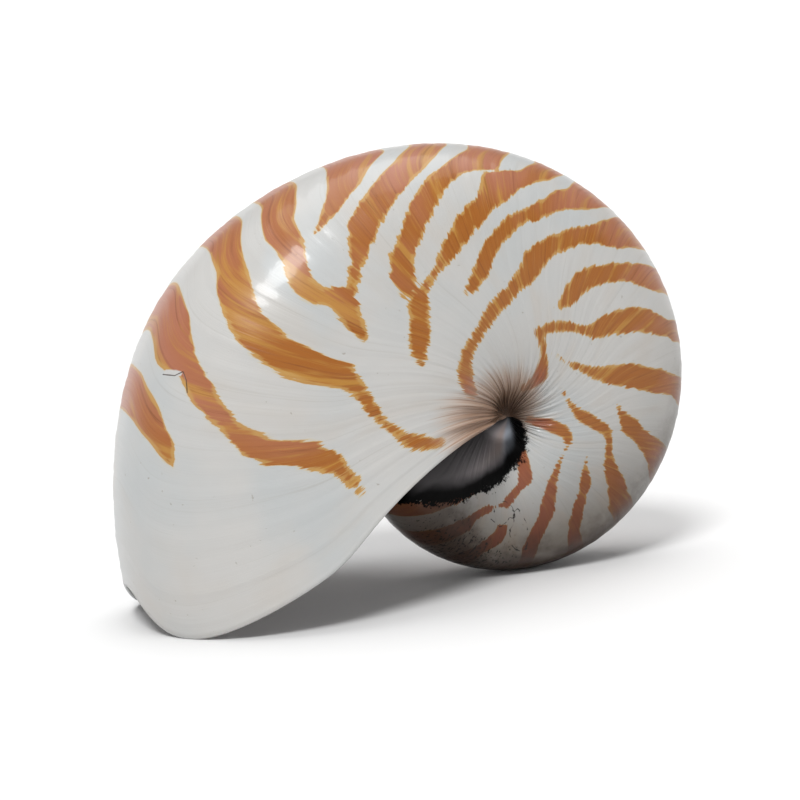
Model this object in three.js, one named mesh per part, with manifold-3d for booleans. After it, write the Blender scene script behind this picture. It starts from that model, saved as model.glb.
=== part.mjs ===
import * as THREE from 'three';
import { mergeVertices } from 'three/addons/utils/BufferGeometryUtils.js';
import Module from 'manifold-3d';

// A nautilus shell: one flat coil that hides its own earlier turns, with an open body
// chamber behind the lip. Millimetres, +Z up. The coil is drawn in its own frame, with
// the coiling axis along Z, and is then stood up, with that axis across it along Y.

const wasm = await Module();
wasm.setup();

const degrees = THREE.MathUtils.degToRad;
const { clamp, lerp, smoothstep } = THREE.MathUtils;

// Coil: how far the outer wall lies from the coiling axis, by the angle round it.
const referenceRadius = 113;
const referenceTurn = 210; // degrees from +X
const growthRate = 0.2436; // natural logarithm of the growth, per radian
const growthDrift = 0.0125; // change of that rate, per radian
const swellSize = 0.035; // the body chamber is a little fuller than the spiral
const swellTurn = 160;
const swellSpan = 26;

// Section of the whorl, in parts of that radius.
const halfWidth = 0.4;
const widestAt = 0.42;
const widestShare = 0.3; // share of the curve parameter between the axis and there
const axisHeight = 0.5; // height at the axis, as a part of the half width
const axisFall = 2.2;
const outerArch = 2.4;

// Callus: the plug that fills the umbilicus on each side.
const callusRadius = 9;
const callusHeight = 17;

// Lip: it stands furthest forward on the flanks, and draws back to the axis and,
// in a sinus, at the middle of the outer wall. Distances are in parts of the radius.
const lipTurn = 213;
const sinusDepth = 9.3; // degrees
const sinusWidth = 0.17;
const sinusFall = 3;
const lobeEdge = 0.68;
const lobeRound = 0.06;
const umbilicalSweep = 55; // degrees per radius

// Body chamber.
const wallThickness = 2.2;
const lipThickness = 1.5;
const lipTaper = 60; // degrees over which the wall thins to the lip
const floorLayer = 0.4; // dark layer over the turn that the chamber stands on
const septumTurn = 99;
const septumDish = 11; // degrees, at the middle
const chamberEdge = 1.17; // where its two horns end
const hornStart = 0.9;
const hornLeast = 0.06;
const chamberOverrun = 16; // degrees that the cut runs past the lip
const siphuncleRadius = 2.5;
const siphuncleDepth = 9; // to each side of the septum
const siphunclePlace = 0.42; // between the floor and the outer wall

// How it stands: turned in the plane of the coil until the two lobes of the lip and
// the outer wall under the axis meet the ground together.
const standingTurn = -5.04; // degrees

// Faceting.
const turnSteps = 76;
const sectionSteps = 34;
const chamberTurnSteps = 20;
const chamberSectionSteps = 26;
const chamberDepthSteps = 4;
const siphuncleSides = 16;
const sectionParts = 400; // straight parts that the section's length is measured by

function venterRadius(turn) {
  const t = degrees(turn - referenceTurn);
  const swell = swellSize * Math.exp(-(((turn - swellTurn) / swellSpan) ** 2));
  return referenceRadius * Math.exp(growthRate * t + growthDrift * t * t) * (1 + swell);
}

// Half of the section, from the axis (u = 0) to the middle of the outer wall (u = 1).
function halfSection(u) {
  if (u < widestShare) {
    const t = u / widestShare;
    return new THREE.Vector2(widestAt * t, halfWidth * (1 - (1 - axisHeight) * (1 - t) ** axisFall));
  }
  const angle = ((u - widestShare) / (1 - widestShare)) * Math.PI / 2;
  const power = 2 / outerArch;
  return new THREE.Vector2(
    widestAt + (1 - widestAt) * Math.sin(angle) ** power,
    halfWidth * Math.max(Math.cos(angle), 0) ** power,
  );
}

// The same curve, measured out by its length from the outer wall.
const sectionSamples = [];
for (let i = 0; i <= sectionParts; i += 1) sectionSamples.push(halfSection(1 - i / sectionParts));
const sectionLengths = [0];
for (let i = 1; i < sectionSamples.length; i += 1) {
  sectionLengths.push(sectionLengths[i - 1] + sectionSamples[i].distanceTo(sectionSamples[i - 1]));
}
const sectionLength = sectionLengths.at(-1);

function sectionAt(across) {
  const along = Math.min(Math.abs(across), sectionLength);
  const next = clamp(sectionLengths.findIndex((length) => length >= along), 1, sectionParts);
  const span = sectionLengths[next] - sectionLengths[next - 1];
  const part = (along - sectionLengths[next - 1]) / span;
  const point = sectionSamples[next - 1].clone().lerp(sectionSamples[next], part);
  return new THREE.Vector2(point.x, across < 0 ? -point.y : point.y);
}

// How far the growth lines lie behind their furthest point, in degrees.
function growthLag(across) {
  const side = Math.abs(across);
  const sinus = sinusDepth / (1 + (side / sinusWidth) ** sinusFall);
  const past = side - lobeEdge;
  const sweep = umbilicalSweep * 0.5 * (past + Math.hypot(past, lobeRound));
  return sinus + sweep;
}

// A point of the outer surface, as distance from the axis and height.
function wallPoint(turn, across) {
  const point = sectionAt(across).multiplyScalar(venterRadius(turn));
  const side = Math.sign(point.y) || 1;
  const plug = side * callusHeight;
  point.y = lerp(plug, point.y, smoothstep(point.x, 0, callusRadius));
  return point;
}

function wallNormal(turn, across) {
  const step = 0.01;
  const ahead = wallPoint(turn, Math.min(across + step, sectionLength));
  const behind = wallPoint(turn, Math.max(across - step, -sectionLength));
  const along = ahead.sub(behind).normalize();
  return new THREE.Vector2(along.y, -along.x);
}

function place(point, turn) {
  const angle = degrees(turn);
  return new THREE.Vector3(point.x * Math.cos(angle), point.x * Math.sin(angle), point.y);
}

function solidFrom(geometry) {
  const bare = geometry.clone();
  bare.deleteAttribute('normal');
  bare.deleteAttribute('uv');
  const merged = mergeVertices(bare, 1e-4);
  return new wasm.Manifold(new wasm.Mesh({
    numProp: 3,
    vertProperties: merged.attributes.position.array,
    triVerts: merged.index.array,
  }));
}

function geometryFrom(solid) {
  const mesh = solid.getMesh();
  const geometry = new THREE.BufferGeometry();
  geometry.setAttribute('position', new THREE.BufferAttribute(mesh.vertProperties, 3));
  geometry.setIndex(new THREE.BufferAttribute(mesh.triVerts, 1));
  return geometry;
}

// The last full turn as a solid, closed across the lip.
function coilGeometry() {
  const corners = [];
  for (let i = 0; i <= turnSteps; i += 1) {
    for (let j = 0; j <= sectionSteps; j += 1) {
      const across = lerp(-sectionLength, sectionLength, j / sectionSteps);
      const turn = lipTurn - 360 + (360 * i) / turnSteps - growthLag(across);
      corners.push(place(wallPoint(turn, across), turn));
    }
  }
  const at = (i, j) => (i % (turnSteps + 1)) * (sectionSteps + 1) + j;
  const faces = [];
  for (let i = 0; i <= turnSteps; i += 1) {
    for (let j = 0; j < sectionSteps; j += 1) {
      const [a, b, c, d] = [at(i, j), at(i + 1, j), at(i + 1, j + 1), at(i, j + 1)];
      if (j > 0) faces.push(a, b, c);
      if (j < sectionSteps - 1) faces.push(a, c, d);
    }
  }
  const geometry = new THREE.BufferGeometry().setFromPoints(corners);
  geometry.setIndex(faces);
  return geometry;
}

// A box bent into the space between two turns: x runs round the coil, y across it and
// z from the floor to the outer wall.
function chamberGeometry() {
  const box = new THREE.BoxGeometry(1, 1, 1, chamberTurnSteps, chamberSectionSteps, chamberDepthSteps);
  const position = box.attributes.position;
  for (let i = 0; i < position.count; i += 1) {
    const along = position.getX(i) + 0.5;
    const across = 2 * chamberEdge * position.getY(i);
    const depth = position.getZ(i) + 0.5;
    const point = chamberPoint(along, across, depth);
    position.setXYZ(i, point.x, point.y, point.z);
  }
  return box;
}

function chamberPoint(along, across, depth) {
  const dish = septumDish * 4 * depth * (1 - depth) * (1 - (across / chamberEdge) ** 2);
  const start = septumTurn - dish;
  const end = lipTurn + chamberOverrun;
  const turn = lerp(start, end, along) - growthLag(across) * smoothstep(along, 0, 0.5);
  const toLip = smoothstep(turn + growthLag(across), lipTurn - lipTaper, lipTurn);
  const wall = lerp(wallThickness, lipThickness, toLip);
  const normal = wallNormal(turn, across);
  const roof = wallPoint(turn, across).addScaledVector(normal, -wall);
  const floor = wallPoint(turn - 360, across).addScaledVector(wallNormal(turn - 360, across), floorLayer);
  const horn = clamp((Math.abs(across) - hornStart) / (chamberEdge - hornStart), 0, 1);
  const opening = Math.max(Math.sqrt(1 - horn * horn), hornLeast);
  return place(floor.lerp(roof, depth * opening), turn);
}

// The hole in the last septum where the siphuncle passed.
function siphuncleGeometry() {
  const length = 2 * siphuncleDepth;
  const hole = new THREE.CylinderGeometry(siphuncleRadius, siphuncleRadius, length, siphuncleSides);
  const centre = chamberPoint(0, 0, siphunclePlace);
  hole.rotateZ(Math.atan2(centre.y, centre.x));
  hole.translate(centre.x, centre.y, centre.z);
  return hole;
}

function shellGeometry() {
  const chamber = solidFrom(chamberGeometry()).add(solidFrom(siphuncleGeometry()));
  const geometry = geometryFrom(solidFrom(coilGeometry()).subtract(chamber));
  geometry.rotateZ(degrees(standingTurn));
  geometry.rotateX(degrees(90));
  geometry.computeBoundingBox();
  const { min, max } = geometry.boundingBox;
  geometry.translate(-(min.x + max.x) / 2, -(min.y + max.y) / 2, -min.z);
  return geometry;
}

const shellMaterial = new THREE.MeshStandardMaterial({ color: 0xd9d4ca, roughness: 0.3, metalness: 0 });
const shell = new THREE.Mesh(shellGeometry(), shellMaterial);
shell.name = 'shell';

const nautilus = new THREE.Group();
nautilus.add(shell);
export default nautilus;
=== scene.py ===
import math

import bpy
import bmesh
import numpy as np
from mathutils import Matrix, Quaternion, Vector


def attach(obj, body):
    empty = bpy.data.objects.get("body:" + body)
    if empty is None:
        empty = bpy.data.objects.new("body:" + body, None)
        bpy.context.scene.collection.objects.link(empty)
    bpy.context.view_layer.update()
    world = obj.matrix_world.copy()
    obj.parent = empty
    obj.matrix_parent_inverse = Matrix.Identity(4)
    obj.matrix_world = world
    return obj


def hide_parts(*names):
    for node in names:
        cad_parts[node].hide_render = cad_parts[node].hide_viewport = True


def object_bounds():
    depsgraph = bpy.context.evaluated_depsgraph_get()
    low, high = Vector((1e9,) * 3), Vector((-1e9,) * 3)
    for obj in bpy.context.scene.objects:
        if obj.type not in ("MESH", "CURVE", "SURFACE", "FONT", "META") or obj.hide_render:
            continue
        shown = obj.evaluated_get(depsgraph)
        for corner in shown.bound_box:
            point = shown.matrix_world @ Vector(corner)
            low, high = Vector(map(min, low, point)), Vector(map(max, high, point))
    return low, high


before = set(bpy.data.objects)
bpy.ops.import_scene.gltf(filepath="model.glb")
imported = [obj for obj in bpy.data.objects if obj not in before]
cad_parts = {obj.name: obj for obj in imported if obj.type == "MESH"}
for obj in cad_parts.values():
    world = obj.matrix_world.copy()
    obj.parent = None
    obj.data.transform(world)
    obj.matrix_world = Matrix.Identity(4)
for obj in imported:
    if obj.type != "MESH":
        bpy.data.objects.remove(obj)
cadLow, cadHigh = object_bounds()
print("frame loaded")


# The coil, in metres and degrees. Turn is the angle round the coiling axis, and across
# runs over the section from the middle of the outer wall, in parts of the radius there.
coil = {
    "radius": 0.113,  # coiling axis to outer wall at the reference turn
    "referenceTurn": 210.0,
    "growth": 0.2436,  # natural logarithm per radian
    "growthDrift": 0.0125,
    "swell": 0.035,  # the body chamber is a little fuller than the spiral
    "swellTurn": 160.0,
    "swellSpan": 26.0,
    "halfWidth": 0.40,
    "widestAt": 0.42,
    "widestShare": 0.3,
    "axisHeight": 0.5,
    "axisFall": 2.2,
    "outerArch": 2.4,
    "callusRadius": 0.009,
    "callusHeight": 0.017,
    "standingTurn": -5.04,
}

# The lip and the body chamber behind it.
lip = {
    "turn": 212.6,
    "sinusDepth": 9.3,
    "sinusWidth": 0.17,
    "sinusFall": 3,
    "lobeEdge": 0.68,
    "lobeRound": 0.06,
    "sweep": 55.0,
    "thickness": 0.0014,
    "taper": 60.0,  # degrees over which the wall thins to the lip
    "bulge": 0.0007,
}
chamber = {
    "wall": 0.0022,
    "septumTurn": 99.0,
    "dish": 11.0,
    "edge": 1.17,
    "hornStart": 0.90,
    "siphunclePlace": 0.42,  # between the floor and the outer wall
    "siphuncleRadius": 0.0035,
    "siphuncleDepth": 8.0,  # degrees that the septum is drawn back into its neck
    "neck": (0.45, 1.15),  # where the neck starts and ends, in parts of that radius
}

meshSteps = {
    "turns": 480,
    "flank": 132,  # columns between the two chamber edges
    "umbilicus": 9,  # columns from there to the axis
    "chamberTurns": 64,
    "septum": 20,
    "rim": 4,
}


def smooth(value, low, high):
    t = np.clip((np.asarray(value, float) - low) / (high - low), 0.0, 1.0)
    return t * t * (3 - 2 * t)


def venterRadius(turn):
    t = np.radians(turn - coil["referenceTurn"])
    swell = coil["swell"] * np.exp(-(((turn - coil["swellTurn"]) / coil["swellSpan"]) ** 2))
    return coil["radius"] * np.exp(coil["growth"] * t + coil["growthDrift"] * t * t) * (1 + swell)


def halfSection(u):
    share, widest, half = coil["widestShare"], coil["widestAt"], coil["halfWidth"]
    t = np.clip(u / share, 0, 1)
    angle = np.clip((u - share) / (1 - share), 0, 1) * math.pi / 2
    power = 2 / coil["outerArch"]
    inner = half * (1 - (1 - coil["axisHeight"]) * (1 - t) ** coil["axisFall"])
    outer = half * np.clip(np.cos(angle), 0, 1) ** power
    distance = np.where(u < share, widest * t, widest + (1 - widest) * np.sin(angle) ** power)
    return distance, np.where(u < share, inner, outer)


sectionX, sectionZ = halfSection(np.linspace(1, 0, 2001))
sectionRun = np.concatenate([[0], np.cumsum(np.hypot(np.diff(sectionX), np.diff(sectionZ)))])
sectionLength = sectionRun[-1]


def growthLag(across):
    side = np.abs(across)
    past = side - lip["lobeEdge"]
    sinus = lip["sinusDepth"] / (1 + (side / lip["sinusWidth"]) ** lip["sinusFall"])
    return sinus + lip["sweep"] * 0.5 * (past + np.hypot(past, lip["lobeRound"]))


# Height of the surface over the smooth wall: growth steps everywhere, and folds that
# run out from the umbilicus.
relief = {
    "stepHeight": 0.00007,
    "stepRates": (0.9, 1.7, 2.9, 4.3),  # radians of a wave in a degree of turn
    "stepsFade": (0.9, 1.1),  # across
    "foldHeight": 0.00035,
    "foldRates": (0.42, 0.71, 1.13),
    "foldsRise": (0.93, 1.08),
    "foldsFade": 1.18,
    "foldsStart": (-82.0, -40.0),  # the black layer fills them before this turn
    "seed": 5,
}
reliefRandom = np.random.default_rng(relief["seed"])


def makeWaves(rates):
    return [(rate, reliefRandom.uniform(0, 6.28), reliefRandom.uniform(0.5, 1.0)) for rate in rates]


stepWaves = makeWaves(relief["stepRates"])
foldWaves = makeWaves(relief["foldRates"])


def waves(value, parts):
    return sum(size * np.sin(value * rate + start) for rate, start, size in parts)


def surfaceRelief(turn, across):
    line = turn + growthLag(across)
    size = venterRadius(turn) / coil["radius"]
    side = np.abs(across)
    steps = relief["stepHeight"] * waves(line, stepWaves) * (1 - smooth(side, *relief["stepsFade"]))
    folds = relief["foldHeight"] * waves(line, foldWaves) * smooth(side, *relief["foldsRise"])
    folds = folds * smooth(turn, *relief["foldsStart"])
    return size * (steps + folds * (1 - smooth(side, relief["foldsFade"], sectionLength)))


def sectionPoint(turn, across):
    radius = venterRadius(turn)
    distance = np.interp(np.abs(across), sectionRun, sectionX) * radius
    height = np.interp(np.abs(across), sectionRun, sectionZ) * radius
    near = 1 - smooth(distance, 0, coil["callusRadius"])
    height = height + (coil["callusHeight"] - height) * near
    return distance, np.where(across < 0, -height, height)


def sectionNormal(turn, across):
    step = 0.004
    x1, z1 = sectionPoint(turn, np.minimum(across + step, sectionLength))
    x0, z0 = sectionPoint(turn, np.maximum(across - step, -sectionLength))
    size = np.hypot(x1 - x0, z1 - z0)
    return (z1 - z0) / size, -(x1 - x0) / size


# A point of the shell: depth is how far it lies under the outer face.
def wallPoint(turn, across, depth=0.0):
    x, z = sectionPoint(turn, across)
    nx, nz = sectionNormal(turn, across)
    rise = surfaceRelief(turn, across) - depth
    rise = np.where(np.abs(across) > sectionLength - 1e-6, 0.0, rise)  # none at the axis
    return x + nx * rise, z + nz * rise


def place(x, z, turn):
    angle = np.radians(turn)
    return np.stack([x * np.cos(angle), x * np.sin(angle), z + 0 * angle], axis=-1)


def columns():
    edge, steps = chamber["edge"], meshSteps
    middle = np.linspace(-edge, edge, steps["flank"] + 1)
    outer = np.linspace(edge, sectionLength, steps["umbilicus"] + 1)[1:]
    return np.concatenate([-outer[::-1], middle, outer])


# Points and quads are collected patch by patch. Patches share their borders, and each quad
# knows its kind: 0 outside, 1 the chamber's floor, 2 the chamber's roof and the septum.
class ShellMesh:
    def __init__(self):
        self.points, self.fields, self.quads, self.kinds = [], [], [], []
        self.count = 0

    def patch(self, points, turn, across, kind):
        rows, cols = points.shape[:2]
        index = self.count + np.arange(rows * cols).reshape(rows, cols)
        quads = np.stack([index[:-1, :-1], index[1:, :-1], index[1:, 1:], index[:-1, 1:]], axis=-1)
        self.points.append(points.reshape(-1, 3))
        self.fields.append(np.stack([turn.ravel(), across.ravel()], axis=-1))
        self.quads.append(quads.reshape(-1, 4))
        self.kinds.append(np.full(quads.shape[0] * quads.shape[1], kind))
        self.count += rows * cols


def chamberTurn(along, across, dish=0.0):
    start = chamber["septumTurn"] - dish
    run = start + (lip["turn"] - start) * along
    return run - growthLag(across) * smooth(along, 0, 0.5)


# From the floor (level 0) to the inside of the outer wall (level 1).
def chamberPoint(turn, across, level):
    toLip = smooth(turn + growthLag(across), lip["turn"] - lip["taper"], lip["turn"])
    wall = chamber["wall"] + (lip["thickness"] - chamber["wall"]) * toLip
    floorX, floorZ = wallPoint(turn - 360, across)
    roofX, roofZ = wallPoint(turn, across, wall)
    horn = np.clip((np.abs(across) - chamber["hornStart"]) / (chamber["edge"] - chamber["hornStart"]), 0, 1)
    opening = level * np.sqrt(1 - horn**2)
    return floorX + (roofX - floorX) * opening, floorZ + (roofZ - floorZ) * opening


def septumPatch(across):
    level = np.linspace(0, 1, meshSteps["septum"] + 1)[:, None]
    side = across[None, :]
    dish = chamber["dish"] * 4 * level * (1 - level) * (1 - (side / chamber["edge"]) ** 2)
    turn = chamberTurn(0, side, dish) + 0 * side
    x, z = chamberPoint(turn, side + 0 * level, level + 0 * side)
    deepest = chamber["septumTurn"] - chamber["dish"]
    centreX, _ = chamberPoint(deepest, np.array(0.0), chamber["siphunclePlace"])
    away = np.hypot(x - centreX, z) / chamber["siphuncleRadius"]
    turn = turn - chamber["siphuncleDepth"] * (1 - smooth(away, *chamber["neck"]))
    return place(x, z, turn), turn, side + 0 * level


def buildShell():
    mesh = ShellMesh()
    cols = columns()
    inner = np.abs(cols) <= chamber["edge"] + 1e-9
    cavity = cols[inner]

    base = lip["turn"] - 360 + 360 * np.linspace(0, 1, meshSteps["turns"] + 1)[:, None]
    turn = base - growthLag(cols)[None, :]
    across = cols[None, :] + 0 * turn
    outer = place(*wallPoint(turn, across), turn)
    mesh.patch(outer, turn, across, 0)

    along = np.linspace(0, 1, meshSteps["chamberTurns"] + 1)[:, None]
    run = chamberTurn(along, cavity[None, :])
    side = cavity[None, :] + 0 * run
    floor = place(*chamberPoint(run, side, 0.0), run)
    roof = place(*chamberPoint(run, side, 1.0), run)
    mesh.patch(floor, run - 360, side, 1)
    mesh.patch(roof, run, side, 2)

    septum, septumTurn, septumAcross = septumPatch(cavity)
    mesh.patch(septum, septumTurn, septumAcross, 2)

    # The rim runs from the outer face over a rounded edge to the inside.
    inside = outer[0].copy()
    inside[inner] = roof[-1]
    outside = outer[-1]
    middle = (inside + outside) / 2
    half = (outside - inside) / 2
    thickness = np.linalg.norm(half, axis=1, keepdims=True)
    ahead = np.stack([-outside[:, 1], outside[:, 0], 0 * outside[:, 0]], axis=-1)
    ahead /= np.maximum(np.linalg.norm(ahead, axis=1, keepdims=True), 1e-6)
    bulge = np.minimum(thickness, lip["bulge"])
    rim = []
    for angle in np.linspace(0, math.pi, meshSteps["rim"] + 1):
        rim.append(middle + half * math.cos(angle) + ahead * bulge * math.sin(angle))
    rimTurn = np.repeat(turn[-1:], len(rim), axis=0)
    mesh.patch(np.array(rim), rimTurn, np.repeat(cols[None, :], len(rim), axis=0), 0)
    return mesh


def toRow(points):
    angle = math.radians(coil["standingTurn"])
    x = points[:, 0] * math.cos(angle) - points[:, 1] * math.sin(angle)
    up = points[:, 0] * math.sin(angle) + points[:, 1] * math.cos(angle)
    standing = np.stack([x, -points[:, 2], up], axis=-1)
    low, high = standing.min(axis=0), standing.max(axis=0)
    standing -= (low + high) / 2
    standing += (np.array(cadLow) + np.array(cadHigh)) / 2
    return standing


# Bands of colour on a flank. Each row is across, and the turns where the band starts and
# ends there.
flames = [
    [(0.0, 170.4, 177.3), (0.1, 172.1, 178.9), (0.2, 175.7, 181.8), (0.225, 177.3, 183.0),
     (0.25, 179.6, 184.3), (0.285, 181.8, 185.4)],
    [(0.0, 155.9, 163.2), (0.05, 156.8, 165.0), (0.1, 158.2, 167.1), (0.15, 159.6, 169.9),
     (0.2, 161.3, 170.9), (0.25, 165.0, 170.9), (0.29, 168.0, 173.6), (0.35, 171.1, 176.8),
     (0.4, 175.0, 179.2), (0.45, 177.9, 182.8), (0.5, 179.6, 185.0), (0.55, 180.7, 186.4),
     (0.6, 181.4, 187.5), (0.65, 182.0, 188.6), (0.7, 185.2, 191.6), (0.74, 190.7, 196.0),
     (0.757, 196.0, 198.9)],
    [(0.0, 140.9, 148.9), (0.1, 143.4, 150.7), (0.2, 147.5, 153.4), (0.25, 149.6, 156.8),
     (0.3, 151.8, 159.6), (0.4, 157.1, 164.3), (0.5, 160.0, 167.3), (0.6, 160.7, 168.3),
     (0.68, 160.9, 168.2), (0.72, 164.4, 169.4), (0.76, 168.1, 173.6), (0.8, 173.2, 177.6),
     (0.825, 176.6, 179.4), (0.86, 179.4, 185.2), (0.9, 181.4, 188.2), (0.95, 184.3, 190.2),
     (0.99, 186.6, 190.6)],
    [(0.0, 130.2, 137.9), (0.1, 132.1, 139.3), (0.2, 135.4, 142.9), (0.25, 138.2, 144.6),
     (0.3, 139.3, 145.1), (0.35, 140.9, 146.8), (0.4, 144.3, 149.3), (0.45, 146.4, 150.7),
     (0.49, 146.6, 151.1), (0.53, 143.0, 149.8), (0.57, 144.2, 150.9), (0.62, 147.3, 152.7),
     (0.675, 151.6, 153.8)],
    [(0.0, 111.8, 123.6), (0.1, 114.3, 126.1), (0.2, 120.4, 128.9), (0.25, 123.6, 131.1),
     (0.3, 129.6, 135.0), (0.338, 135.4, 138.4)],
    [(0.0, 98.5, 105.0), (0.1, 101.1, 109.3), (0.2, 105.7, 115.0), (0.27, 110.4, 121.4),
     (0.33, 116.6, 127.6), (0.37, 120.7, 131.8), (0.43, 127.1, 135.4), (0.48, 132.8, 138.2),
     (0.52, 137.9, 142.1), (0.56, 143.2, 147.0)],
    [(0.0, 84.0, 94.0), (0.15, 88.6, 97.9), (0.22, 91.4, 102.6), (0.27, 92.6, 106.6),
     (0.3, 102.4, 110.4), (0.35, 106.8, 114.3), (0.45, 114.3, 122.1), (0.55, 123.6, 132.1),
     (0.6, 127.1, 134.6), (0.66, 130.4, 135.6)],
    [(0.0, 71.0, 79.5), (0.15, 74.6, 82.0), (0.25, 79.3, 87.1), (0.3, 84.3, 97.6),
     (0.35, 88.6, 98.8), (0.4, 92.1, 100.6), (0.45, 97.1, 106.4), (0.5, 101.4, 110.6),
     (0.55, 106.2, 115.2), (0.6, 112.4, 119.6), (0.63, 117.8, 123.0), (0.66, 124.3, 129.2),
     (0.68, 127.5, 136.2), (0.73, 131.4, 140.0), (0.77, 135.0, 146.0), (0.81, 139.8, 150.4),
     (0.85, 149.6, 152.0)],
    [(0.0, 57.0, 68.0), (0.15, 60.4, 71.4), (0.25, 65.0, 74.3), (0.3, 67.9, 78.6),
     (0.35, 72.9, 81.4), (0.4, 78.6, 85.2), (0.45, 82.9, 90.8), (0.5, 89.4, 96.4),
     (0.55, 94.3, 100.4), (0.6, 98.6, 105.0), (0.65, 101.8, 108.4), (0.7, 106.0, 112.6),
     (0.74, 112.6, 117.6)],
    [(0.0, 42.0, 54.0), (0.15, 45.4, 57.0), (0.25, 49.3, 60.7), (0.35, 55.0, 65.6),
     (0.4, 59.3, 69.6), (0.45, 66.4, 74.6), (0.5, 70.4, 78.8), (0.55, 75.6, 84.4),
     (0.6, 79.8, 89.4), (0.66, 82.5, 91.6), (0.7, 85.2, 95.0), (0.74, 90.6, 98.6),
     (0.8, 97.9, 109.6), (0.83, 104.0, 114.0), (0.87, 111.1, 120.7), (0.91, 121.4, 134.0),
     (0.95, 131.4, 144.3), (0.98, 135.4, 149.4), (1.02, 141.4, 154.6), (1.065, 150.6, 155.0)],
    [(0.0, 28.0, 37.0), (0.2, 33.2, 41.4), (0.3, 37.1, 46.4), (0.35, 39.8, 49.3),
     (0.4, 43.8, 52.8), (0.45, 48.6, 56.4), (0.5, 51.6, 60.2), (0.55, 55.9, 65.0),
     (0.6, 59.4, 67.9), (0.65, 61.6, 69.8), (0.71, 64.0, 71.0), (0.755, 69.0, 72.0)],
    [(0.0, 13.5, 22.0), (0.2, 19.2, 25.8), (0.3, 21.4, 28.2), (0.35, 24.2, 30.9),
     (0.4, 25.9, 35.0), (0.5, 31.1, 41.6), (0.6, 35.9, 46.4), (0.7, 41.8, 50.2),
     (0.75, 45.8, 54.0), (0.78, 54.0, 64.0), (0.82, 62.1, 72.6), (0.86, 70.4, 79.4),
     (0.875, 74.4, 81.8), (0.9, 70.4, 78.2), (0.95, 62.9, 70.8), (1.0, 50.8, 68.2),
     (1.04, 49.6, 66.0), (1.08, 53.0, 69.4), (1.13, 63.6, 78.0)],
    [(0.0, -3.6, 5.4), (0.25, 1.4, 10.0), (0.35, 5.4, 12.2), (0.45, 6.5, 16.4),
     (0.55, 9.6, 20.0), (0.65, 13.6, 24.6), (0.75, 18.3, 28.4), (0.8, 23.4, 32.2),
     (0.84, 29.6, 38.2), (0.88, 38.0, 44.4), (0.895, 43.0, 49.0), (0.905, 49.0, 55.0),
     (0.915, 56.0, 60.5)],
    [(0.0, -30.0, -17.0), (0.3, -23.4, -11.6), (0.4, -18.4, -9.5), (0.5, -14.1, -6.8),
     (0.55, -11.8, -3.2), (0.62, -9.4, 0.0), (0.65, -5.0, 1.7), (0.69, 3.0, 6.0)],
    [(0.0, -48.0, -38.0), (0.27, -43.0, -33.8), (0.4, -42.0, -31.6), (0.5, -37.2, -27.7),
     (0.58, -32.6, -24.0), (0.63, -28.0, -20.6), (0.66, -23.0, -14.4), (0.69, -16.0, -8.4),
     (0.73, -11.4, -5.0), (0.78, -9.9, -2.0), (0.84, -6.8, 3.3), (0.88, -4.1, 5.9),
     (0.91, 0.6, 9.4), (0.935, 9.0, 14.4), (0.955, 17.0, 25.0), (0.967, 26.0, 31.4)],
    [(0.0, -68.0, -60.0), (0.25, -63.4, -56.8), (0.4, -62.0, -56.6), (0.5, -58.6, -51.4),
     (0.58, -53.4, -45.4), (0.62, -47.8, -38.8), (0.67, -43.0, -36.0), (0.71, -37.4, -32.6),
     (0.745, -30.0, -27.8)],
    [(0.0, -88.0, -81.0), (0.3, -82.0, -76.6), (0.4, -82.0, -75.0), (0.5, -78.4, -70.4),
     (0.6, -72.7, -63.2), (0.7, -67.2, -58.0), (0.75, -62.6, -54.6), (0.79, -57.6, -48.6),
     (0.82, -51.0, -44.2), (0.845, -45.0, -39.0), (0.86, -38.0, -33.0), (0.872, -32.0, -27.0)],
    [(0.862, -31.0, -26.0), (0.88, -27.6, -16.0), (0.92, -22.0, -11.0), (1.0, -21.6, -4.6),
     (1.06, -21.0, -3.2), (1.14, -19.0, -2.0)],
    [(0.66, -98.0, -91.0), (0.7, -94.0, -87.2), (0.74, -91.0, -84.0), (0.78, -86.6, -78.6),
     (0.81, -82.2, -70.6), (0.86, -80.4, -67.2), (0.93, -78.4, -65.4), (1.02, -74.0, -61.0)],
    [(0.0, -115.0, -105.0), (0.3, -105.6, -99.0), (0.35, -103.1, -97.4), (0.42, -100.0, -92.4),
     (0.5, -95.9, -89.9), (0.555, -94.8, -90.6)],
    [(0.0, -134.0, -124.0), (0.3, -124.0, -115.0), (0.45, -117.0, -109.0), (0.55, -112.0, -107.0),
     (0.62, -107.0, -100.4), (0.66, -103.0, -98.8)],
    [(0.0, -152.0, -142.0), (0.3, -142.0, -133.0), (0.5, -132.0, -125.0), (0.7, -122.0, -114.0)],
    [(0.0, -172.0, -161.0), (0.3, -161.0, -151.0), (0.6, -148.0, -139.0)],
]
farFlank = {"shift": 5.0, "stretch": 0.08, "from": (0.02, 0.4), "seed": 11}
flameShape = {
    "arch": 0.13,  # across: bands curve over the outer wall's middle inside this
    "samples": 240,
    "rounding": 0.03,  # across: length over which the corners of an edge are rounded
    "outside": -30.0,  # millimetres: least depth kept
}


# The band's two edges as smooth curves, sampled finely over across.
def flameEdges(rows):
    rows = np.array(rows)
    across = np.linspace(rows[0, 0], rows[-1, 0], flameShape["samples"])
    width = max(3, int(round(flameShape["rounding"] / (across[1] - across[0]))) | 1)
    kernel = np.hanning(width + 2)[1:-1]
    kernel /= kernel.sum()
    edges = []
    for column in (1, 2):
        edge = np.interp(across, rows[:, 0], rows[:, column])
        padded = np.pad(edge, width // 2, mode="reflect", reflect_type="odd")
        edges.append(np.convolve(padded, kernel, mode="valid"))
    return across, edges[0], edges[1]


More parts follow.
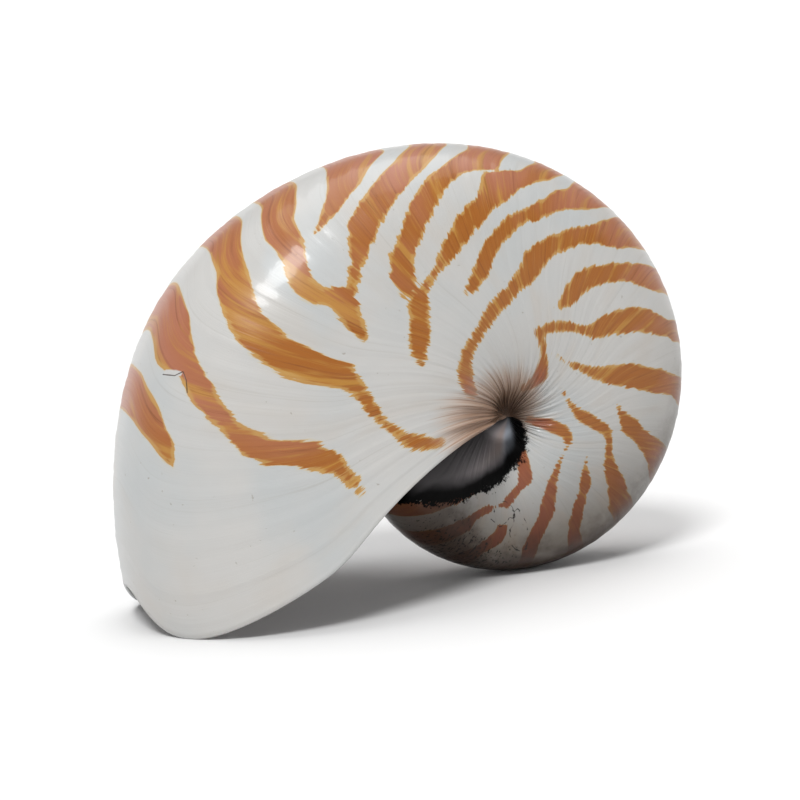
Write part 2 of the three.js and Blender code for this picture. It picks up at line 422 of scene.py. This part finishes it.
# Millimetres inside the nearest band, negative outside.
def flameDepth(turn, across):
    arch = flameShape["arch"]
    side = np.where(np.abs(across) < arch, (arch + across**2 / arch) / 2, np.abs(across))
    radius = venterRadius(turn) * 1000
    perDegree = np.interp(side, sectionRun, sectionX) * math.radians(1)
    far = (across < 0) * smooth(side, *farFlank["from"])
    random = np.random.default_rng(farFlank["seed"])
    depth = np.full(turn.shape, flameShape["outside"])
    for rows in flames:
        shift = farFlank["shift"] * random.uniform(-1, 1)
        stretch = 1 + farFlank["stretch"] * random.uniform(-1, 1)
        row, start, end = flameEdges(rows)
        level = side / (1 + (stretch - 1) * far)
        inside = row[-1] - level
        for edge, sign in ((start, 1), (end, -1)):
            gap = (turn - np.interp(level, row, edge) - shift * far) * sign
            slope = np.interp(level, row, np.gradient(edge, row)) * perDegree
            inside = np.minimum(inside, gap * perDegree / np.sqrt(1 + slope**2))
        if rows[0][0] > 0:
            inside = np.minimum(inside, level - row[0])
        depth = np.maximum(depth, inside * radius)
    return depth


# Where the black layer of the earlier turn ends, as across by turn.
blackEdge = [
    (-200, -0.2), (-141, 0.25), (-138, 0.36), (-134, 0.42), (-115, 0.66), (-111, 0.71),
    (-97, 0.80), (-89, 0.88), (-74, 0.94), (-52, 1.05), (-20, 1.16), (5, 1.4),
]
noFilm = -20.0  # millimetres: depth given where there is no black layer


def blackDepth(turn, across):
    turns, levels = np.array(blackEdge).T
    edge = np.interp(turn, turns, levels)
    return (np.abs(across) - edge) * venterRadius(turn) * 1000


def addField(mesh, name, values):
    layer = mesh.attributes.new(name, "FLOAT", "POINT")
    layer.data.foreach_set("value", values.astype(np.float32))


def makeShell():
    built = buildShell()
    points = toRow(np.concatenate(built.points))
    turn, across = np.concatenate(built.fields).T
    mesh = bpy.data.meshes.new("nautilus_shell")
    mesh.from_pydata(points.tolist(), [], np.concatenate(built.quads).tolist())
    mesh.polygons.foreach_set("material_index", np.concatenate(built.kinds).clip(0, 1).astype(np.int32))
    kinds = [np.full(len(patch), kind[0]) for patch, kind in zip(built.points, built.kinds)]
    roof = np.concatenate(kinds) == 2
    addField(mesh, "growthLine", turn + growthLag(across))
    addField(mesh, "turn", turn)
    addField(mesh, "across", across)
    addField(mesh, "size", venterRadius(turn) / coil["radius"])
    addField(mesh, "bandDepth", flameDepth(turn, across))
    addField(mesh, "filmDepth", np.where(roof, noFilm, blackDepth(turn, across)))
    work = bmesh.new()
    work.from_mesh(mesh)
    bmesh.ops.remove_doubles(work, verts=work.verts, dist=1e-6)
    bmesh.ops.dissolve_degenerate(work, edges=work.edges, dist=1e-7)
    bmesh.ops.recalc_face_normals(work, faces=work.faces)
    openEdges = sum(1 for edge in work.edges if not edge.is_manifold)
    triangles = sum(len(face.verts) - 2 for face in work.faces)
    print("shell mesh:", openEdges, "open edges,", triangles, "triangles")
    work.to_mesh(mesh)
    work.free()
    mesh.shade_smooth()
    shell = bpy.data.objects.new("nautilus_shell", mesh)
    bpy.context.collection.objects.link(shell)
    return shell


# A shader socket that arithmetic works on.
class Signal:
    def __init__(self, finish, socket):
        self.finish, self.socket = finish, socket

    def join(self, operation, first, second=0.0):
        return self.finish.node("ShaderNodeMath", {"operation": operation}, {0: first, 1: second})

    def __add__(self, other):
        return self.join("ADD", self, other)

    def __radd__(self, other):
        return self.join("ADD", other, self)

    def __sub__(self, other):
        return self.join("SUBTRACT", self, other)

    def __rsub__(self, other):
        return self.join("SUBTRACT", other, self)

    def __mul__(self, other):
        return self.join("MULTIPLY", self, other)

    def __rmul__(self, other):
        return self.join("MULTIPLY", other, self)

    def __truediv__(self, other):
        return self.join("DIVIDE", self, other)

    def __rtruediv__(self, other):
        return self.join("DIVIDE", other, self)

    def __pow__(self, other):
        return self.join("POWER", self, other)

    def __abs__(self):
        return self.join("ABSOLUTE", self)


class Finish:
    def __init__(self, name):
        self.material = bpy.data.materials.new(name)
        self.material.use_nodes = True
        self.tree = self.material.node_tree
        self.shader = self.tree.nodes["Principled BSDF"]

    def node(self, kind, settings=None, sockets=None, output=0):
        node = self.tree.nodes.new(kind)
        for name, value in (settings or {}).items():
            setattr(node, name, value)
        for name, value in (sockets or {}).items():
            self.feed(node.inputs[name], value)
        return Signal(self, node.outputs[output])

    def feed(self, socket, value):
        if isinstance(value, Signal):
            self.tree.links.new(value.socket, socket)
        else:
            socket.default_value = value

    def field(self, name):
        return self.node("ShaderNodeAttribute", {"attribute_name": name}, output="Fac")

    def step(self, value, low, high):  # 0 below low, 1 above high
        sockets = {"Value": value, "From Min": low, "From Max": high}
        return self.node("ShaderNodeMapRange", {"interpolation_type": "SMOOTHSTEP"}, sockets)

    def blend(self, mask, under, over, how="MIX"):
        settings = {"data_type": "RGBA", "blend_type": how}
        return self.node("ShaderNodeMix", settings, {0: mask, 6: under, 7: over}, output=2)

    def vector(self, x, y, z=0.0):
        return self.node("ShaderNodeCombineXYZ", {}, {"X": x, "Y": y, "Z": z})

    def noise(self, vector, scale, detail, rough):
        sockets = {"Vector": vector, "Scale": scale, "Detail": detail, "Roughness": rough}
        return self.node("ShaderNodeTexNoise", {}, sockets)

    # Noise drawn out along the growth lines: how often it changes in a degree across them,
    # and in one part of the radius along them.
    def grown(self, line, across, perDegree, perAcross, detail, rough):
        return self.noise(self.vector(line * perDegree, across * perAcross), 1.0, detail, rough)

    def least(self, first, second):
        return self.node("ShaderNodeMath", {"operation": "MINIMUM"}, {0: first, 1: second})

    def most(self, first, second):
        return self.node("ShaderNodeMath", {"operation": "MAXIMUM"}, {0: first, 1: second})

    def limit(self, value):
        return self.node("ShaderNodeClamp", {}, {"Value": value})

    def length(self, x, y):
        return (x * x + y * y) ** 0.5

    def bell(self, value, middle, spread):  # 1 at the middle, falling away on both sides
        away = (value - middle) / spread
        return 1 / (1 + away * away * away * away)

    def toSegment(self, x, y, start, end):
        run, rise = end[0] - start[0], end[1] - start[1]
        along = self.limit(((x - start[0]) * run + (y - start[1]) * rise) / (run * run + rise * rise))
        return self.length(x - start[0] - along * run, y - start[1] - along * rise)

    def set(self, **sockets):
        for name, value in sockets.items():
            self.feed(self.shader.inputs[name.replace("_", " ")], value)

    def bump(self, height, distance, strength=1.0):
        sockets = {"Height": height, "Distance": distance, "Strength": strength}
        self.feed(self.shader.inputs["Normal"], self.node("ShaderNodeBump", {}, sockets))


# A grown pattern is drawn out along the growth lines: perDegree and perAcross say how often
# it changes in a degree of turn and in one part of the radius. A pattern with a scale lies
# evenly through the shell, and changes that often in a metre. An edge gives the two values
# that a mask rises between, and a turn or place gives its middle and its spread.
porcelain = {
    "white": (0.470, 0.462, 0.447, 1),
    "coolWhite": (0.425, 0.438, 0.438, 1),
    "warmWhite": (0.455, 0.425, 0.390, 1),
    "lineShade": (0.27, 0.24, 0.20, 1),
    "clouds": {"scale": 22.0, "detail": 3.0, "rough": 0.55},
    "cloudEdge": (0.38, 0.64),
    "warmth": {"perDegree": 0.08, "perAcross": 3.0, "detail": 3.0, "rough": 0.5},
    "warmthEdge": (0.48, 0.7),
    "warmthStrength": 0.6,
    "lines": {"perDegree": 1.1, "perAcross": 0.9, "detail": 6.0, "rough": 0.7},
    "lineEdge": (0.44, 0.30),
    "lineStrength": 0.22,
    "pits": {"scale": 900.0, "detail": 1.0, "rough": 0.4},
    "pitEdge": (0.755, 0.79),
    "pitPatches": {"scale": 60.0, "detail": 2.0, "rough": 0.5},
    "pitPatchEdge": (0.45, 0.6),
    "pitStrength": 0.55,
    "roughness": 0.33,
    "streakRoughness": 0.12,
    "speckRoughness": 0.3,
    "coat": 0.17,
    "coatLoss": 0.13,  # less of it on the black layer
    "coatRoughness": 0.09,
    "ior": 1.45,
    "specular": 0.28,
    "fine": {"perDegree": 3.2, "perAcross": 3.0, "detail": 4.0, "rough": 0.6},
    "heights": {"lines": 0.5, "fine": 0.35, "pits": 0.6, "crack": 1.2, "layer": 0.5},
    "bumpDistance": 0.00018,
    "bumpStrength": 0.55,
}
bands = {
    "orange": (0.300, 0.100, 0.016, 1),
    "pink": (0.350, 0.135, 0.078, 1),
    "red": (0.25, 0.075, 0.042, 1),
    "gold": (0.43, 0.225, 0.045, 1),
    "rim": (0.44, 0.265, 0.085, 1),
    "brown": (0.125, 0.034, 0.010, 1),
    "halo": (0.49, 0.415, 0.25, 1),
    "patches": {"perDegree": 0.07, "perAcross": 2.4, "detail": 2.0, "rough": 0.5},
    "pinkWithin": 0.42,  # across: pink by the outer wall, orange past this
    "pinkFade": 2.2,
    "pinkPatches": 3.2,
    "pinkShare": 0.2,
    "redTurn": (-88.0, 40.0),
    "redEdge": (0.92, 1.06),
    "redStrength": 0.85,
    "redOverGold": 0.8,
    "broad": {"perDegree": 0.32, "perAcross": 2.2, "detail": 3.0, "rough": 0.6},
    "goldEdge": (0.53, 0.66),
    "goldStrength": 0.65,
    "goldTurn": (153.0, 8.0),  # one wide golden stretch
    "goldPlace": (0.38, 0.15),
    "goldShare": 0.16,
    "streaks": {"perDegree": 1.25, "perAcross": 2.0, "detail": 6.0, "rough": 0.72},
    "brownEdge": (0.52, 0.68),
    "brownStrength": 0.5,
    "paleEdge": (0.46, 0.33),
    "paleStrength": 0.5,
    "hairs": {"perDegree": 4.0, "perAcross": 1.5, "detail": 2.0, "rough": 0.6},
    "hairEdge": (0.60, 0.72),
    "hairStrength": 0.3,
    "rimLeast": 0.35,  # millimetres of gold along the edges
    "rimMost": 1.7,
    "rimPatches": (0.38, 0.62),
    "rimEdge": (0.35, 1.0),
    "rimStrength": 0.75,
    "haloWidth": 0.55,
    "haloStrength": 0.6,
    "softness": 0.10,
    "flank": (0.20, 0.45),
    "teeth": {"perDegree": 0.62, "perAcross": 5.0, "detail": 2.0, "rough": 0.6},
    "teethDepth": 3.8,  # millimetres on the flank
    "chips": {"perDegree": 2.1, "perAcross": 16.0, "detail": 3.0, "rough": 0.7},
    "chipDepth": 1.6,
    "calmDepth": 0.5,  # millimetres on the outer wall
}
fan = {
    "dark": (0.050, 0.024, 0.012, 1),
    "tan": (0.235, 0.130, 0.076, 1),
    "blush": (0.42, 0.285, 0.205, 1),
    "rays": {"perDegree": 0.75, "perAcross": 1.6, "detail": 5.0, "rough": 0.7},
    "lipTurn": (176.0, 20.0),  # where it spreads furthest
    "lipReach": 0.068,
    "smaller": [((0.0, 45.0), 0.05), ((-40.0, 30.0), 0.03)],
    "start": 1.045,
    "blushRays": 0.16,
    "blushEdge": (-0.05, 0.05),
    "blushStrength": 0.65,
    "tanRays": 0.45,
    "tanEdge": (0.0, 0.12),
    "tanStrength": 0.75,
    "darkStart": 1.035,
    "darkLipLoss": 0.08,
    "darkRays": 0.75,
    "darkEdge": (0.06, 0.20),
}
film = {
    "black": (0.004, 0.004, 0.004, 1),
    # sheen and brown are a painted sheen on the black layer
    "sheen": (0.250, 0.272, 0.310, 1),
    "brown": (0.235, 0.170, 0.140, 1),
    "splinters": {"perDegree": 1.5, "perAcross": 42.0, "detail": 4.0, "rough": 0.8},
    "splinterLength": 8.5,  # millimetres
    "crumbs": {"scale": 750.0, "detail": 2.0, "rough": 0.6},
    "crumbSize": 6.0,
    "edge": (-0.08, 0.10),
    "clouds": {"scale": 90.0, "detail": 3.0, "rough": 0.6},
    "cloudSize": 5.0,
    "sheenEdge": (4.5, 12.0),
    "sheenTurn": (-86.0, 32.0),
    "axisEdge": (1.12, 1.30),  # black again at the axis
    "brownEdge": (-104.0, -84.0),
    "brownStrength": 0.8,
}
stainAndShade = {
    "colour": (0.028, 0.013, 0.007, 1),
    "olive": (0.15, 0.115, 0.06, 1),
    # shade is painted shade; olive, and colour where it darkens the bottom, are partly stain and partly
    # painted shade
    "shade": (0.37, 0.315, 0.265, 1),
    "speck": (0.008, 0.006, 0.005, 1),
    "seenSide": (-0.35, 0.1),  # only this flank is stained and painted with shade
    "patches": {"scale": 75.0, "detail": 4.0, "rough": 0.65},
    "shadeTurn": (-80.0, 66.0),
    "shadeEdge": (0.35, 1.05),
    "oliveTurn": (-24.0, 32.0),
    "oliveEdge": (0.16, 0.42),
    "olivePatches": 0.3,
    "oliveStrength": 0.8,
    "lowTurn": (-88.0, 52.0),
    "lowEdge": (0.24, 0.50),
    "lowPatches": 0.55,
    "lowStrength": 0.92,
    "widerTurn": (-124.0, 20.0),
    "wider": 0.19,
    "spots": {"perDegree": 1.0, "perAcross": 24.0, "detail": 3.0, "rough": 0.72},
    "spotShare": 0.13,
    "spotEdge": (0.672, 0.684),
    "speckTurn": (-106.0, 20.0),
    "speckEdge": (0.34, 0.60),
    "speckPatches": 0.4,
    "speckFade": (0.12, 0.40),
}
# Marks on the seen flank: turn, across, and the millimetres in a degree and in one across.
# Their shapes are in millimetres from there.
scar = {
    "turn": 171.6, "across": 0.245, "perDegree": 1.6, "perAcross": 99.0,
    "path": [(3.2, 4.6), (0.2, 3.4), (-1.9, 1.6), (-0.5, -0.6), (-0.2, -4.8)],
    "edge": (0.05, 0.24),
    "wobble": 0.25,
    "strength": 0.85,
    "chip": [(-1.2, 0.8), (-0.9, -4.0)],
    "chipEdge": (0.5, 0.9),
}
rings = [  # size is half the width and half the length
    {"turn": -83.8, "across": 0.505, "perDegree": 0.57, "perAcross": 45.0,
     "size": (2.5, 6.0), "edge": (0.05, 0.22)},
    {"turn": -92.5, "across": 0.625, "perDegree": 0.50, "perAcross": 43.0,
     "size": (3.2, 3.0), "edge": (0.05, 0.20)},
]
marks = {
    "wobble": {"scale": 320.0, "detail": 2.0, "rough": 0.6},
    "ringWobble": 1.3,
    "breaks": {"scale": 560.0, "detail": 1.0, "rough": 0.5},
    "breakEdge": (0.44, 0.52),
    "farOff": 99.0,
}


def bandColour(f, line, turn, across, side, edge, streaks):
    look = bands
    patches = f.grown(line, across, **look["patches"]) - 0.5
    pinkish = (look["pinkWithin"] - side) * look["pinkFade"] + patches * look["pinkPatches"]
    colour = f.blend(f.limit(pinkish + look["pinkShare"]), look["orange"], look["pink"])
    reddish = f.most(f.bell(turn, *look["redTurn"]), f.step(side, *look["redEdge"]))
    colour = f.blend(reddish * look["redStrength"], colour, look["red"])
    golden = 1 - reddish * look["redOverGold"]
    broad = f.grown(line, across, **look["broad"])
    stretch = f.bell(turn, *look["goldTurn"]) * f.bell(side, *look["goldPlace"])
    gold = f.step(broad + stretch * look["goldShare"], *look["goldEdge"])
    colour = f.blend(gold * golden * look["goldStrength"], colour, look["gold"])
    colour = f.blend(f.step(streaks, *look["brownEdge"]) * look["brownStrength"], colour, look["brown"])
    pale = f.step(streaks, *look["paleEdge"])
    colour = f.blend(pale * golden * look["paleStrength"], colour, look["gold"])
    hairs = f.step(f.grown(line, across, **look["hairs"]), *look["hairEdge"])
    colour = f.blend(hairs * golden * look["hairStrength"], colour, look["rim"])
    wide = f.step(broad, *look["rimPatches"])
    rimWidth = look["rimLeast"] + (look["rimMost"] - look["rimLeast"]) * wide
    rim = 1 - f.step(edge / rimWidth, *look["rimEdge"])
    return f.blend(rim * golden * look["rimStrength"], colour, look["rim"])


def groundColour(f, body, line, across):
    look = porcelain
    clouds = f.step(f.noise(body, **look["clouds"]), *look["cloudEdge"])
    colour = f.blend(clouds, look["white"], look["coolWhite"])
    warmth = f.step(f.grown(line, across, **look["warmth"]), *look["warmthEdge"])
    colour = f.blend(warmth * look["warmthStrength"], colour, look["warmWhite"])
    lines = f.grown(line, across, **look["lines"])
    shaded = f.step(lines, *look["lineEdge"]) * look["lineStrength"]
    colour = f.blend(shaded, colour, look["lineShade"])
    pitted = f.step(f.noise(body, **look["pits"]), *look["pitEdge"])
    pitted = pitted * f.step(f.noise(body, **look["pitPatches"]), *look["pitPatchEdge"])
    return f.blend(pitted * look["pitStrength"], colour, look["lineShade"]), lines, pitted


# The brown fan round the umbilicus, which spreads under the lip's corner.
def fanColour(f, colour, line, across, side, turn):
    rays = f.grown(line, across, **fan["rays"]) - 0.5
    atLip = f.bell(turn, *fan["lipTurn"])
    depth = side - fan["start"] + atLip * fan["lipReach"]
    for where, loss in fan["smaller"]:
        depth = depth - f.bell(turn, *where) * loss
    blush = f.step(depth + rays * fan["blushRays"], *fan["blushEdge"])
    colour = f.blend(blush * fan["blushStrength"], colour, fan["blush"])
    tan = f.step(depth + rays * fan["tanRays"], *fan["tanEdge"])
    colour = f.blend(tan * fan["tanStrength"], colour, fan["tan"])
    depth = side - fan["darkStart"] - atLip * fan["darkLipLoss"]
    return f.blend(f.step(depth + rays * fan["darkRays"], *fan["darkEdge"]), colour, fan["dark"])


# The black layer with its splintered edge, and further in a painted sheen of blue-grey and brown, which the
# metallic layer mirrors.
def filmColour(f, colour, body, line, across, turn, where):
    depth = f.field("filmDepth")
    splinters = (f.grown(line, across, **film["splinters"]) - 0.5) * film["splinterLength"]
    crumbs = (f.noise(body, **film["crumbs"]) - 0.5) * film["crumbSize"]
    layer = f.step(depth + splinters + crumbs, *film["edge"]) * where
    clouds = (f.noise(body, **film["clouds"]) - 0.5) * film["cloudSize"]
    # painted sheen: blue-grey further in from the edge, black again at the axis, brown at the lower turns
    sheen = f.step(depth + clouds, *film["sheenEdge"]) * f.bell(turn, *film["sheenTurn"])
    sheen = sheen * (1 - f.step(abs(across), *film["axisEdge"]))
    inside = f.blend(sheen, film["black"], film["sheen"])
    brown = (1 - f.step(turn, *film["brownEdge"])) * sheen * film["brownStrength"]
    return f.blend(layer, colour, f.blend(brown, inside, film["brown"])), layer


# Darker towards the bottom of the seen flank: painted shade over its lower part, and specks of stain.
# Brown-black by the outer wall and olive beside it are partly stain and partly painted shade.
def stainAndShadeColour(f, colour, body, line, across, side, turn):
    look = stainAndShade
    seen = f.step(across, *look["seenSide"])
    patches = f.noise(body, **look["patches"]) - 0.5
    # painted shade: the lower part of the seen flank multiplied darker
    shade = f.bell(turn, *look["shadeTurn"]) * (1 - f.step(side, *look["shadeEdge"])) * seen
    colour = f.blend(shade, colour, look["shade"], "MULTIPLY")
    # olive low on the right by the outer wall: partly stain, partly painted shade
    olive = 1 - f.step(side + patches * look["olivePatches"], *look["oliveEdge"])
    olive = f.bell(turn, *look["oliveTurn"]) * olive * seen
    colour = f.blend(olive * look["oliveStrength"], colour, look["olive"], "MULTIPLY")
    # brown-black at the bottom by the outer wall: partly stain, partly painted shade
    wider = f.bell(turn, *look["widerTurn"]) * look["wider"]
    dark = 1 - f.step(side - wider + patches * look["lowPatches"], *look["lowEdge"])
    dark = f.bell(turn, *look["lowTurn"]) * dark * seen
    colour = f.blend(dark * look["lowStrength"], colour, look["colour"])
    where = 1 - f.step(side + patches * look["speckPatches"], *look["speckEdge"])
    where = f.bell(turn, *look["speckTurn"]) * where * seen
    spots = f.grown(line, across, **look["spots"]) + where * look["spotShare"]
    specks = f.step(spots, *look["spotEdge"]) * f.step(where, *look["speckFade"])
    return f.blend(specks, colour, look["speck"]), specks


def markPlace(mark, turn, across):
    return (turn - mark["turn"]) * mark["perDegree"], (across - mark["across"]) * mark["perAcross"]


def marksColour(f, colour, body, turn, across):
    wobble = f.noise(body, **marks["wobble"]) - 0.5
    x, y = markPlace(scar, turn, across)
    gap = marks["farOff"]
    for start, end in zip(scar["path"], scar["path"][1:]):
        gap = f.least(gap, f.toSegment(x, y, start, end))
    chipped = 1 - f.step(f.toSegment(x, y, *scar["chip"]) + wobble, *scar["chipEdge"])
    colour = f.blend(chipped, colour, porcelain["white"])
    crack = 1 - f.step(gap + wobble * scar["wobble"], *scar["edge"])
    colour = f.blend(crack * scar["strength"], colour, stainAndShade["colour"])
    broken = f.step(f.noise(body, **marks["breaks"]), *marks["breakEdge"])
    for ring in rings:
        x, y = markPlace(ring, turn, across)
        width, length = ring["size"]
        away = abs(f.length(x / width, y / length) - 1 + wobble * marks["ringWobble"]) * width
        colour = f.blend((1 - f.step(away, *ring["edge"])) * broken, colour, stainAndShade["speck"])
    return colour, crack


def shellFinish():
    f = Finish("shell_porcelain")
    look = porcelain
    line, turn, across = f.field("growthLine"), f.field("turn"), f.field("across")
    side = abs(across)
    body = f.node("ShaderNodeTexCoord", {}, {}, output="Object")
    streaks = f.grown(line, across, **bands["streaks"])

    colour, lines, pitted = groundColour(f, body, line, across)
    flank = f.step(side, *bands["flank"])
    teeth = f.grown(line, across, **bands["teeth"]) - 0.5
    chips = f.grown(line, across, **bands["chips"]) - 0.5
    edge = f.field("bandDepth") / f.field("size")
    edge = edge + teeth * (bands["calmDepth"] + flank * bands["teethDepth"])
    edge = edge + chips * (bands["calmDepth"] + flank * bands["chipDepth"])
    halo = f.step(edge, -bands["haloWidth"], 0.0) * bands["haloStrength"]
    colour = f.blend(halo, colour, bands["halo"])
    inside = bandColour(f, line, turn, across, side, edge, streaks)
    colour = f.blend(f.step(edge, -bands["softness"], bands["softness"]), colour, inside)
    colour = fanColour(f, colour, line, across, side, turn)
    colour, specks = stainAndShadeColour(f, colour, body, line, across, side, turn)
    colour, crack = marksColour(f, colour, body, turn, across)
    colour, layer = filmColour(f, colour, body, line, across, turn, 1.0)

    bare = 1 - layer
    rough = look["roughness"] + (streaks - 0.5) * bare * look["streakRoughness"]
    rough = rough + specks * look["speckRoughness"]
    f.set(Base_Color=colour, Roughness=rough, Metallic=layer)  # so that the layer mirrors little
    f.set(Coat_Weight=look["coat"] - layer * look["coatLoss"], Coat_Roughness=look["coatRoughness"])
    f.set(IOR=look["ior"], Specular_IOR_Level=look["specular"])
    heights = look["heights"]
    fine = f.grown(line, across, **look["fine"])
    height = lines * heights["lines"] + fine * heights["fine"]
    height = height - pitted * heights["pits"] - crack * heights["crack"]
    f.bump(height * bare + layer * heights["layer"], look["bumpDistance"], look["bumpStrength"])
    return f.material


nacre = {
    "colour": (0.62, 0.60, 0.57, 1),
    "tint": (0.56, 0.52, 0.54, 1),
    "clouds": {"perDegree": 0.06, "perAcross": 3.0, "detail": 3.0, "rough": 0.5},
    "roughness": 0.26,
    "coat": 0.3,
    "coatRoughness": 0.1,
    "bumpDistance": 0.0003,
    "bumpStrength": 0.2,
    "floorFrom": (-205.0, -185.0),  # growth lines that the black layer on the floor lies between
    "floorTo": (0.0, 10.0),
}


def nacreFinish():
    f = Finish("shell_nacre")
    look = nacre
    line, across, turn = f.field("growthLine"), f.field("across"), f.field("turn")
    body = f.node("ShaderNodeTexCoord", {}, {}, output="Object")
    clouds = f.grown(line, across, **look["clouds"])
    colour = f.blend(clouds, look["colour"], look["tint"])
    onFloor = f.step(line, *look["floorFrom"]) * (1 - f.step(line, *look["floorTo"]))
    colour, layer = filmColour(f, colour, body, line, across, turn, onFloor)
    f.set(Base_Color=colour, Roughness=look["roughness"], Metallic=layer)
    f.set(Coat_Weight=look["coat"], Coat_Roughness=look["coatRoughness"])
    f.bump(clouds, look["bumpDistance"], look["bumpStrength"])
    return f.material


studio = {
    "floorColour": (0.74, 0.74, 0.74, 1),
    "floorRoughness": 0.7,
    "floorSpecular": 0.2,
    "flatRadius": 2.2,
    "flatRings": 6,
    "bendRadius": 1.4,
    "bendRings": 12,
    "spokes": 96,
    "skyStrength": 0.36,
    "lights": [  # name, azimuth and elevation it comes from, angle across, strength
        ("key", -30.0, 54.0, 18.0, 2.3),
        ("top", 150.0, 78.0, 50.0, 1.5),
    ],
    "camera": {
        "azimuth": -15.85, "elevation": 7.62, "roll": -4.88, "distance": 0.6215,
        "lens": 101.36, "sensor": 36.0, "aim": (0.0017, 0.0071, 0.0498),
    },
}


def makeFloor():
    flat, bend, spokes = studio["flatRadius"], studio["bendRadius"], studio["spokes"]
    profile = [(flat * i / studio["flatRings"], 0.0) for i in range(studio["flatRings"] + 1)]
    for i in range(1, studio["bendRings"] + 1):
        angle = math.pi / 2 * i / studio["bendRings"]
        profile.append((flat + bend * math.sin(angle), bend * (1 - math.cos(angle))))
    points, faces = [], []
    for radius, height in profile:
        for k in range(spokes):
            angle = 2 * math.pi * k / spokes
            points.append((radius * math.cos(angle), radius * math.sin(angle), height))
    for i in range(len(profile) - 1):
        for k in range(spokes):
            n = (k + 1) % spokes
            faces.append((i * spokes + k, (i + 1) * spokes + k, (i + 1) * spokes + n, i * spokes + n))
    mesh = bpy.data.meshes.new("floor")
    mesh.from_pydata(points, [], faces)
    mesh.shade_smooth()
    floor = bpy.data.objects.new("floor", mesh)
    bpy.context.collection.objects.link(floor)
    f = Finish("pale_floor")
    f.set(Base_Color=studio["floorColour"], Roughness=studio["floorRoughness"])
    f.set(Specular_IOR_Level=studio["floorSpecular"])
    mesh.materials.append(f.material)
    return floor


def directionFrom(azimuth, elevation):
    azimuth, elevation = math.radians(azimuth), math.radians(elevation)
    level = math.cos(elevation)
    return Vector((math.sin(azimuth) * level, -math.cos(azimuth) * level, math.sin(elevation)))


def makeLights():
    for name, azimuth, elevation, across, strength in studio["lights"]:
        light = bpy.data.lights.new(name, "SUN")
        light.angle = math.radians(across)
        light.energy = strength
        lamp = bpy.data.objects.new(name, light)
        lamp.rotation_mode = "QUATERNION"
        lamp.rotation_quaternion = directionFrom(azimuth, elevation).to_track_quat("Z", "Y")
        bpy.context.collection.objects.link(lamp)
    world = bpy.data.worlds.new("studio")
    world.use_nodes = True
    sky = world.node_tree.nodes["Background"]
    sky.inputs["Color"].default_value = (1, 1, 1, 1)
    sky.inputs["Strength"].default_value = studio["skyStrength"]
    bpy.context.scene.world = world


def makeCamera():
    look = studio["camera"]
    back = directionFrom(look["azimuth"], look["elevation"])
    data = bpy.data.cameras.new("camera")
    data.lens = look["lens"]
    data.sensor_width = look["sensor"]
    camera = bpy.data.objects.new("camera", data)
    camera.location = Vector(look["aim"]) + back * look["distance"]
    camera.rotation_mode = "QUATERNION"
    roll = Quaternion(back, math.radians(look["roll"]))
    camera.rotation_quaternion = roll @ back.to_track_quat("Z", "Y")
    bpy.context.collection.objects.link(camera)
    bpy.context.scene.camera = camera


makeCamera()
floor = makeFloor()
print("floor and camera ready")

shell = makeShell()
shell.data.materials.append(shellFinish())
shell.data.materials.append(nacreFinish())
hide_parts("shell")
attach(shell, "root")
print("shell ready")

makeLights()
bpy.context.scene.view_settings.view_transform = "Standard"
print("lights ready")
